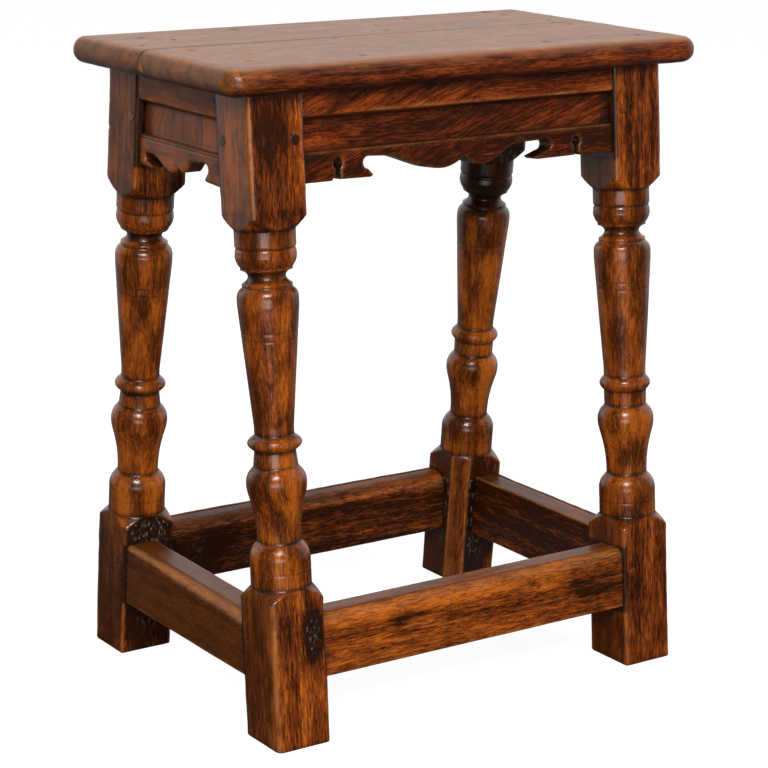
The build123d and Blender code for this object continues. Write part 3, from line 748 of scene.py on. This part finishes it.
def make_board(front, seed, material):
    name = "front_top_board" if front else "rear_top_board"
    path, normals = board_path(front)
    middle = (HEIGHT + SEAT_UNDERSIDE) / 2
    turn = np.radians(np.linspace(-90, 90, EDGE_ROWS))
    across = SEAT_EDGE_RADIUS * (1 - np.cos(turn))
    rise = np.where(np.sin(turn) > 0, 1, -1) * EDGE_STRAIGHT + SEAT_EDGE_RADIUS * np.sin(turn)
    rise[EDGE_ROWS // 2] = 0
    cols = len(path)
    band = np.vstack([at_height(path - normals * inset, middle + up) for inset, up in zip(across, rise)])
    count = len(band)
    top_ring = band[-cols:, :2]
    bottom_ring = band[:cols, :2]

    joint_x = np.arange(top_ring[0, 0] + 2.5, top_ring[-1, 0] - 1, 2.5)
    joint = np.column_stack([joint_x, np.full(len(joint_x), BOARD_JOINT_Y)])
    loop_top = np.vstack([top_ring, joint[::-1]])
    low, high = loop_top.min(0), loop_top.max(0)
    grid = np.array([(x + (k % 2) * 1.4, y) for k, y in enumerate(np.arange(low[1] + 2, high[1], 2.6))
                     for x in np.arange(low[0] + 2, high[0], 2.8)])
    side = -1 if front else 1
    easing = np.column_stack([joint_x, np.full(len(joint_x), BOARD_JOINT_Y + side * 0.6)])
    rims = [(mx + r * k / 3 * math.cos(a), my + r * k / 3 * math.sin(a)) for mx, my, r, _ in TOP_MARKS
            for k in (1, 2, 3, 4) for a in np.linspace(0, 2 * math.pi, 12, endpoint=False)]
    grid = np.vstack([grid, easing, rims])
    grid = grid[(grid[:, 1] - BOARD_JOINT_Y) * side > 0.3]
    grid = grid[(distance_to_loop(grid, split_loop(loop_top, 1.2)) > 0.5) & inside(grid, loop_top)]
    top_faces = fill(loop_top, grid)
    sparse = grid[::23]
    bottom_faces = fill(np.vstack([bottom_ring, joint[::-1]]), sparse)

    # Points: edge rings, then the joint's top and bottom rows, then the insides of both faces.
    points = np.vstack([band, at_height(joint[::-1], HEIGHT), at_height(joint[::-1], SEAT_UNDERSIDE),
                        at_height(grid, HEIGHT), at_height(sparse, SEAT_UNDERSIDE)])
    inside_start = count + 2 * len(joint)
    top_row = list(range(count, count + len(joint)))
    bottom_row = list(range(count + len(joint), inside_start))
    top_ids = [*range(count - cols, count), *top_row, *range(inside_start, inside_start + len(grid))]
    bottom_ids = [*range(cols), *bottom_row, *range(inside_start + len(grid), len(points))]
    faces = [tuple(top_ids[i] for i in t) for t in top_faces]
    faces += [tuple(bottom_ids[i] for i in reversed(t)) for t in bottom_faces]
    quads = ring_faces(len(turn), cols, closed=False)
    faces += quads if front else [tuple(reversed(q)) for q in quads]
    left_edge = [k * cols for k in range(len(turn))]
    right_edge = [k * cols + cols - 1 for k in range(len(turn))]
    joint_face = left_edge + top_row[::-1] + right_edge[::-1] + bottom_row
    faces.append(tuple(joint_face) if front else tuple(reversed(joint_face)))

    # Wear: a soft unevenness, dents, a rounded joint arris and marks.
    x, y, z = points.T
    place = points
    top_side = smooth(middle, HEIGHT, z)
    outward = np.zeros_like(points)
    outward[:count, :2] = np.tile(normals, (len(turn), 1)) * np.repeat(np.cos(turn), cols)[:, None]
    outward[:count, 2] = np.repeat(np.sin(turn), cols)
    outward[count:, 2] = np.where(z[count:] > middle, 1, -1)
    wearing = 0.10 * (1 + noise(place, (60, 16, 30), seed)) * top_side
    edge_zone = np.zeros(len(points))
    edge_zone[:count] = 1
    wearing = wearing + edge_zone * 0.25 * (1 + noise(place, (34, 34, 9), seed + 1))
    wearing = wearing + edge_zone * 0.12 * (1 + noise(place, (7, 7, 5), seed + 2))
    marks = np.zeros(len(points))
    for mx, my, r, deep in TOP_MARKS:
        away = np.hypot((x - mx) / 1.15, y - my)
        dip = smooth(r, r * 0.55, away) * (z > middle)
        wearing = wearing + deep * dip
        marks = np.maximum(marks, dip * min(1.0, 0.45 + deep * 0.5))
    at_joint = np.exp(-np.abs(y - BOARD_JOINT_Y) / 0.5) * (z > middle + 4)
    wearing = wearing + at_joint * JOINT_ARRIS_LOSS
    points = points - outward * wearing[:, None]
    end_loss = LEFT_END_LOSS + JOINT_END_LOSS * bell(y - BOARD_JOINT_Y, 22)
    points[:, 0] += end_loss * smooth(-212, -229, x)
    from_joint = np.maximum(side * (points[:, 1] - BOARD_JOINT_Y), JOINT_GAP)
    points[:, 1] = BOARD_JOINT_Y + side * from_joint

    near_joint = np.exp(-np.abs(y - BOARD_JOINT_Y) / 1.1) * (z > middle - 8)
    gone = smooth(60, 150, x) * 0.6
    # Dirt in the marks and the joint, and painted shade under the top's edge.
    grime_and_shade = marks + near_joint * (0.75 - gone) + smooth(SEAT_UNDERSIDE + 5, SEAT_UNDERSIDE + 0.5, z) * 0.7
    on_end = np.zeros(len(points))
    on_end[:count] = smooth(0.62, 0.93, np.tile(-normals[:, 0], len(turn)))
    upper = bell(z - HEIGHT + 3.5, 3.0) * edge_zone * (1 - 0.6 * on_end)
    wear = upper * (0.10 + 0.25 * noise(place, (22, 22, 9), seed + 3))
    front_left = np.exp(-((x + 222) ** 2 + (y + 129) ** 2) / 500) * edge_zone * (1 - on_end)
    wear = wear + front_left * 0.25 * smooth(SEAT_UNDERSIDE + 3, middle, z)
    chip, chip_dirt = (patches(y, z, [spot]) * (x < -215) for spot in (CHIP, CHIP_DIRT))
    wear = wear + chip
    wood = np.stack([z, y, x], 1) + (seed * 47.0, seed * 59.0, seed * 83.0)
    upper_face = smooth(HEIGHT - 3.2, HEIGHT - 0.6, z)
    calm = np.maximum(upper_face, on_end)
    # The edge is a little darker, and painted shade darkens it towards the underside.
    shade = (1 - upper_face) * (-0.05 - 0.3 * smooth(SEAT_UNDERSIDE + 9, SEAT_UNDERSIDE, z))
    gloss = -0.3 * on_end * (1 - upper_face) + front_left
    grime_and_shade = grime_and_shade + chip_dirt + 0.74 * on_end * (1 - upper_face)
    grime_and_shade = np.clip(grime_and_shade, 0, 1) * (1 - np.clip(chip, 0, 1))
    make_piece(f"{name}_worn", [name], "top_oak", material, points, faces, wood,
               wear, grime_and_shade, calm, shade, gloss)


# ---------------------------------------------------------------- pegs
def make_pegs(name, places, normal, along, seed, material, proud=0.2, sooty=()):
    """Round peg heads with a knife-cut edge, one mesh for each group. sooty numbers the dark ones."""
    normal, along = np.array(normal, float), np.array(along, float)
    other = np.cross(normal, along)
    points, faces, wood, grime_and_shade = [], [], [], []
    sides = 28
    profile = [(1.0, -6.0), (1.0, -0.6), (0.96, 0.4), (0.86, 0.9), (0.6, 1.0), (0.3, 1.05)]
    for number, place in enumerate(places):
        base = len(points)
        for r, up in profile:
            for k in range(sides):
                a = 2 * math.pi * k / sides
                wobble = 1 + 0.035 * math.sin(3 * a + number * 2.1 + seed) + 0.02 * math.sin(7 * a + number)
                radius = PEG_RADIUS * 0.96 * r * wobble
                lift = up * proud if up > 0 else up
                tilt = 0.12 * math.sin(a + number * 1.7 + seed) if up > 0 else 0
                offset = radius * (math.cos(a) * along + math.sin(a) * other)
                points.append(np.array(place) + offset + (lift - tilt * proud) * normal)
                wood.append((radius * math.cos(a), radius * math.sin(a) + number * 13, lift + seed * 17))
                grime_and_shade.append(1.0 if r > 0.9 or number in sooty else 0.1)
        faces += [tuple(i + base for i in f) for f in ring_faces(len(profile), sides)]
        last = base + (len(profile) - 1) * sides
        faces.append(tuple(range(last, last + sides)))
        faces.append(tuple(reversed(range(base, base + sides))))
    make_piece(f"{name}_heads", [name], "peg_oak", material, np.array(points), faces,
               np.array(wood), 0.0, np.array(grime_and_shade))


APRON_PEG_HEIGHT = {True: 478.5, False: 475.5}
STRETCHER_PEG_HEIGHT = {True: 81.0, False: 77.0}
PEG_FROM_SHOULDER = 8.5
SOOTY_PEGS = {"front_apron_pegs": (0,), "left_apron_pegs": (1,), "front_stretcher_pegs": (0,)}


def make_frame_pegs(side, rail, height, seed, material):
    reach = side.shoulder(height) + PEG_FROM_SHOULDER
    local = np.array([(-reach, height, HALF_LEG - 0.1), (reach, height, HALF_LEG - 0.1)])
    name = f"{side.name}_{rail}_pegs"
    make_pegs(name, side.to_world(local), side.n, side.u, seed, material, sooty=SOOTY_PEGS.get(name, ()))


# ---------------------------------------------------------------- materials
class Graph:
    """A few short ways to add nodes to one material."""

    def __init__(self, tree):
        self.tree = tree
        tree.nodes.clear()

    def add(self, kind, props=None, **inputs):
        """A node with its settings and inputs. An input is named, or numbered as in _0."""
        node = self.tree.nodes.new(kind)
        for key, value in (props or {}).items():
            setattr(node, key, value)
        for key, value in inputs.items():
            socket = node.inputs[int(key[1:]) if key[0] == "_" else key.replace("_", " ")]
            if isinstance(value, bpy.types.NodeSocket):
                self.tree.links.new(value, socket)
            else:
                socket.default_value = value
        return node

    def attribute(self, name, vector=False):
        node = self.add("ShaderNodeAttribute", {"attribute_name": name})
        return node.outputs["Vector" if vector else "Fac"]

    def math(self, operation, a, b=0.0, clamp=False):
        node = self.add("ShaderNodeMath", {"operation": operation, "use_clamp": clamp}, _0=a, _1=b)
        return node.outputs[0]

    def weighted(self, *terms):
        """The sum of values, each times its weight."""
        products = [self.math("MULTIPLY", value, weight) for value, weight in terms]
        total = products[0]
        for product in products[1:]:
            total = self.math("ADD", total, product)
        return total

    def vector_math(self, operation, a, b=(0, 0, 0)):
        """A vector node, whose outputs are Vector and Value."""
        return self.add("ShaderNodeVectorMath", {"operation": operation}, _0=a, _1=b).outputs

    def noise(self, coordinates, scale, detail=3.0, rough=0.55, warp=0.0):
        stretched = self.add("ShaderNodeMapping", None, Vector=coordinates, Scale=scale).outputs[0]
        node = self.add("ShaderNodeTexNoise", {"noise_dimensions": "3D"}, Vector=stretched,
                        Scale=1.0, Detail=detail, Roughness=rough, Distortion=warp)
        return node.outputs["Fac"]

    def ramp(self, value, low, high, start=0.0, end=1.0):
        node = self.add("ShaderNodeMapRange", {"interpolation_type": "SMOOTHSTEP", "clamp": True},
                        Value=value, From_Min=low, From_Max=high, To_Min=start, To_Max=end)
        return node.outputs[0]

    def blend(self, share, a, b):
        settings = {"data_type": "RGBA", "clamp_factor": True}
        return self.add("ShaderNodeMix", settings, _0=share, _6=a, _7=b).outputs[2]


def node_material(name):
    """A new material, and its graph."""
    material = bpy.data.materials.new(name)
    material.use_nodes = True
    return material, Graph(material.node_tree)


VARNISH_IOR = 1.5
GRIME_AND_SHADE = (0.008, 0.0030, 0.0012, 1)
DUST_AND_GLINT = (0.15, 0.105, 0.080, 1)
WORN = (0.42, 0.15, 0.040, 1)
DARK = (0.018, 0.0034, 0.0004, 1)
PORE = (0.0063, 0.00119, 0.00014, 1)
USUAL_CALM = ((0.055, 0.0115, 0.0008), (0.26, 0.062, 0.0050))


def oak(name, middle, light, calm_range=USUAL_CALM, roughness=0.27):
    """Old varnished oak. Lively wood has strong streaks from dark to light, calm wood has a smooth
    brown with fine dotted pores. Wear bares paler wood, and a near-black colour marks grime and painted
    shade: in recesses, under the seat and behind the rails. Where the shade is deepest the wood is
    craggy, with pale specks on its lumps that are dust and painted glints."""
    material, g = node_material(name)
    wood = g.attribute("wood", vector=True)
    wear, grime_and_shade, calm, shade, gloss = (g.attribute(mask) for mask in MASKS)

    broad = g.noise(wood, (55, 55, 5), detail=3, warp=0.3)
    bands = g.noise(wood, (230, 230, 16), detail=3, rough=0.55)
    streaks = g.noise(wood, (900, 900, 95), detail=4, rough=0.62, warp=0.25)
    pore = g.noise(wood, (1400, 1400, 190), detail=3, rough=0.6)
    blotch = g.noise(wood, (75, 75, 34), detail=5, rough=0.65)
    specks = g.noise(wood, (1300, 1300, 420), detail=2, rough=0.5)

    tone = g.weighted((broad, 0.6), (bands, 0.6), (streaks, 1.1), (blotch, 0.5), (shade, 0.5))
    lively = g.blend(g.ramp(tone, 1.12, 1.42), DARK, (*middle, 1))
    lively = g.blend(g.ramp(tone, 1.34, 1.72), lively, (*light, 1))
    lively = g.blend(g.ramp(pore, 0.54, 0.64, 0.0, 0.75), lively, PORE)
    even = g.weighted((broad, 0.6), (blotch, 0.7), (streaks, 0.4), (bands, 0.4), (shade, 0.45))
    quiet = g.blend(g.ramp(even, 0.83, 1.27), *((*colour, 1) for colour in calm_range))
    quiet = g.blend(g.ramp(pore, 0.56, 0.66, 0.0, 0.45), quiet, DARK)
    quiet = g.blend(g.ramp(specks, 0.64, 0.74, 0.0, 0.35), quiet, WORN)
    body = g.blend(calm, lively, quiet)

    worn_mask = g.math("MULTIPLY", wear, g.ramp(streaks, 0.35, 0.58, 0.45, 1.0), clamp=True)
    body = g.blend(g.math("MULTIPLY", worn_mask, 0.85), body, WORN)
    # The near-black colour paints grime and painted shade alike.
    grime_and_shade_mask = g.math("MULTIPLY", grime_and_shade, g.ramp(blotch, 0.30, 0.65, 1.0, 0.7), clamp=True)
    body = g.blend(g.math("MULTIPLY", grime_and_shade_mask, 0.92), body, GRIME_AND_SHADE)
    lumps = g.noise(wood, (420, 420, 190), detail=3, rough=0.6)
    craggy = g.math("SUBTRACT", 1.0, gloss, clamp=True)
    craggy = g.math("MULTIPLY", g.ramp(shade, -0.80, -1.0), craggy)
    # Pale specks on the craggy lumps stand for dust, and are painted glints as well.
    body = g.blend(g.math("MULTIPLY", craggy, g.ramp(lumps, 0.53, 0.68, 0.0, 0.9)), body, DUST_AND_GLINT)

    rough = g.ramp(streaks, 0.35, 0.65, roughness - 0.04, roughness + 0.10)
    rough = g.math("ADD", rough, g.weighted((grime_and_shade_mask, 0.06), (gloss, -0.08)), clamp=True)
    raised = g.math("MULTIPLY", lumps, craggy)
    relief = g.weighted((streaks, 0.9), (pore, -0.5), (blotch, 1.2), (raised, 9.0))
    strength = g.math("ADD", 0.26, g.math("MULTIPLY", calm, -0.14))
    bump = g.add("ShaderNodeBump", None, Height=relief, Strength=strength, Distance=0.0006)
    dulled = g.weighted((worn_mask, -0.25), (g.math("MINIMUM", gloss, 0.0), 0.33))
    dulled = g.math("ADD", 0.5, dulled, clamp=True)
    shader = g.add("ShaderNodeBsdfPrincipled", None, Base_Color=body, Roughness=rough, IOR=VARNISH_IOR,
                   Specular_IOR_Level=dulled, Normal=bump.outputs[0])
    g.add("ShaderNodeOutputMaterial", None, Surface=shader.outputs[0])
    return material


leg_oak = oak("leg_oak", (0.150, 0.0255, 0.0014), (0.46, 0.112, 0.0060))
apron_oak = oak("apron_oak", (0.105, 0.0135, 0.0006), (0.33, 0.060, 0.0030))
stretcher_oak = oak("stretcher_oak", (0.185, 0.0340, 0.0018), (0.52, 0.125, 0.0070),
                    calm_range=((0.050, 0.0115, 0.0006), (0.12, 0.0295, 0.0018)))
top_oak = oak("top_oak", (0.105, 0.0145, 0.0006), (0.29, 0.056, 0.0028),
              calm_range=((0.18, 0.052, 0.0045), (0.38, 0.112, 0.0110)), roughness=0.36)
peg_oak = oak("peg_oak", (0.10, 0.017, 0.001), (0.24, 0.055, 0.004))

# ---------------------------------------------------------------- build every piece
for seed, (name, x_side, y_side) in enumerate((("front_left_leg", -1, -1), ("front_right_leg", 1, -1),
                                               ("rear_left_leg", -1, 1), ("rear_right_leg", 1, 1)), 1):
    make_leg(name, x_side, y_side, seed * 10, leg_oak)
for seed, side in enumerate(SIDES, 5):
    make_apron(side, LONG if side.leaning else SHORT, seed * 10, apron_oak, curled=not side.leaning)
    make_stretcher(side, STRETCHERS[side.name], seed * 10 + 5, stretcher_oak)
    make_frame_pegs(side, "apron", APRON_PEG_HEIGHT[side.leaning], seed, peg_oak)
    make_frame_pegs(side, "stretcher", STRETCHER_PEG_HEIGHT[side.leaning], seed + 4, peg_oak)
make_board(True, 91, top_oak)
make_board(False, 97, top_oak)
TOP_PEG_PLACES = [(-90, -99), (90, -99), (-88, 99), (88, 99), (-190, -5), (190, -5),
                  (-185, -86), (185, -86), (-185, 86), (185, 86)]
TOP_PEG_SINK = 0.9
make_pegs("top_pegs", [(x, y, HEIGHT - TOP_PEG_SINK) for x, y in TOP_PEG_PLACES], (0, 0, 1), (1, 0, 0), 3,
          peg_oak, proud=0.3, sooty=range(len(TOP_PEG_PLACES)))


# ---------------------------------------------------------------- floor, light and camera
CAMERA_AZIMUTH = -34.233
CAMERA_ELEVATION = 14.716
CAMERA_ROLL = 0.636
CAMERA_PLACE = (-1.131728, -1.664117, 0.768219)
CAMERA_LENS = 113.848
FLOOR_HALF = 6.0
FLOOR_WHITE = 0.91
FLOOR_COLOUR = (0.30, 0.30, 0.30, 1)
FLOOR_MIRRORED = (0.03, 0.03, 0.03, 1)
# What reflections see of the white: by distance over the floor, and in the dim half of the room.
GLOW_DISTANCES = (0.35, 2.2)
GLOW_STRENGTHS = (0.06, 0.55)
ROOM = 0.06
# The room's even light on the wood.
FILL = 0.28


def seen_and_mirrored(g, direction):
    """Two masks for the white background: the rays of the camera, and the reflected rays that go
    away from the camera, behind the stool. On the camera's side the room is dim."""
    path = g.add("ShaderNodeLightPath")
    seen = g.math("ADD", path.outputs["Is Camera Ray"], path.outputs["Is Transmission Ray"], clamp=True)
    a = math.radians(CAMERA_AZIMUTH)
    behind = g.vector_math("DOT_PRODUCT", direction, (-math.sin(a), math.cos(a), 0))["Value"]
    glossy = path.outputs["Is Glossy Ray"]
    return seen, glossy, g.math("MULTIPLY", glossy, g.ramp(behind, 0.02, 0.42, ROOM, 1.0))


def floor_material():
    """Pale paper. Its own white is what the camera sees. Reflections find less of it close to the
    stool, which shades it."""
    material, g = node_material("floor_paper")
    place = g.add("ShaderNodeNewGeometry").outputs["Position"]
    direction = g.vector_math("NORMALIZE", place)["Vector"]
    away = g.vector_math("LENGTH", place)["Value"]
    seen, glossy, mirrored = seen_and_mirrored(g, direction)
    mirrored = g.math("MULTIPLY", mirrored, g.ramp(away, *GLOW_DISTANCES, *GLOW_STRENGTHS))
    glow = g.math("ADD", g.math("MULTIPLY", seen, FLOOR_WHITE), mirrored)
    paper = g.blend(glossy, FLOOR_COLOUR, FLOOR_MIRRORED)
    matt = g.add("ShaderNodeBsdfDiffuse", None, Color=paper)
    white = g.add("ShaderNodeEmission", None, Color=(1, 1, 1, 1), Strength=glow)
    both = g.add("ShaderNodeAddShader", None, _0=matt.outputs[0], _1=white.outputs[0])
    g.add("ShaderNodeOutputMaterial", None, Surface=both.outputs[0])
    return material


mesh = bpy.data.meshes.new("floor")
corners = [(x * FLOOR_HALF, y * FLOOR_HALF, 0) for x, y in ((-1, -1), (1, -1), (1, 1), (-1, 1))]
mesh.from_pydata(corners, [], [(0, 1, 2, 3)])
mesh.materials.append(floor_material())
floor = new_object("floor", mesh)

world = bpy.data.worlds.new("studio")
bpy.context.scene.world = world
world.use_nodes = True
g = Graph(world.node_tree)
seen, glossy, mirrored = seen_and_mirrored(g, g.add("ShaderNodeTexCoord").outputs["Generated"])
matt = g.math("MULTIPLY", g.math("SUBTRACT", 1.0, g.math("ADD", seen, glossy, clamp=True)), FILL)
strength = g.math("ADD", g.math("ADD", seen, mirrored), matt)
background = g.add("ShaderNodeBackground", None, Color=(1, 1, 1, 1), Strength=strength)
g.add("ShaderNodeOutputWorld", None, Surface=background.outputs[0])


def toward(azimuth, elevation):
    """Unit vector from the object towards a lamp or camera. Azimuth 0 is in front of the stool."""
    a, e = math.radians(azimuth), math.radians(elevation)
    return Vector((math.sin(a) * math.cos(e), -math.cos(a) * math.cos(e), math.sin(e)))


LAMP_AIM = Vector((0, 0, 0.28))


def area_lamp(name, azimuth, elevation, distance, size, power, matt=True, mirrored=True):
    """A lamp that faces the stool. matt: it lights the wood. mirrored: reflections show it."""
    data = bpy.data.lights.new(name, "AREA")
    data.shape = "RECTANGLE"
    data.size, data.size_y = size
    data.energy = power
    lamp = new_object(name, data)
    lamp.visible_diffuse, lamp.visible_glossy = matt, mirrored
    direction = toward(azimuth, elevation)
    lamp.location = LAMP_AIM + direction * distance
    lamp.rotation_mode = "QUATERNION"
    lamp.rotation_quaternion = direction.to_track_quat("Z", "Y")


# The broad lamps light the wood without a mirror image of their own, and the glint is only mirrored.
area_lamp("key", -36, 31, 2.2, (0.7, 0.7), 45, mirrored=False)
area_lamp("glint", -38, 42, 2.2, (0.4, 0.4), 26, matt=False)
area_lamp("low", -36, 1, 1.9, (1.0, 0.5), 7)
area_lamp("side", 45, 26, 2.2, (0.7, 0.9), 14, mirrored=False)
area_lamp("rear", 150, 12, 2.4, (1.2, 0.9), 14, mirrored=False)

camera_data = bpy.data.cameras.new("camera")
camera_data.sensor_width = 36
camera_data.lens = CAMERA_LENS
camera_data.clip_start, camera_data.clip_end = 0.05, 50
camera = new_object("camera", camera_data)
back = toward(CAMERA_AZIMUTH, CAMERA_ELEVATION)
right = (-back).cross(Vector((0, 0, 1))).normalized()
above = right.cross(-back).normalized()
roll = math.radians(CAMERA_ROLL)
x_axis = right * math.cos(roll) + above * math.sin(roll)
y_axis = above * math.cos(roll) - right * math.sin(roll)
turn = Matrix((x_axis, y_axis, back)).transposed().to_4x4()
camera.matrix_world = Matrix.Translation(CAMERA_PLACE) @ turn
bpy.context.scene.camera = camera

bpy.context.scene.view_settings.view_transform = "Standard"
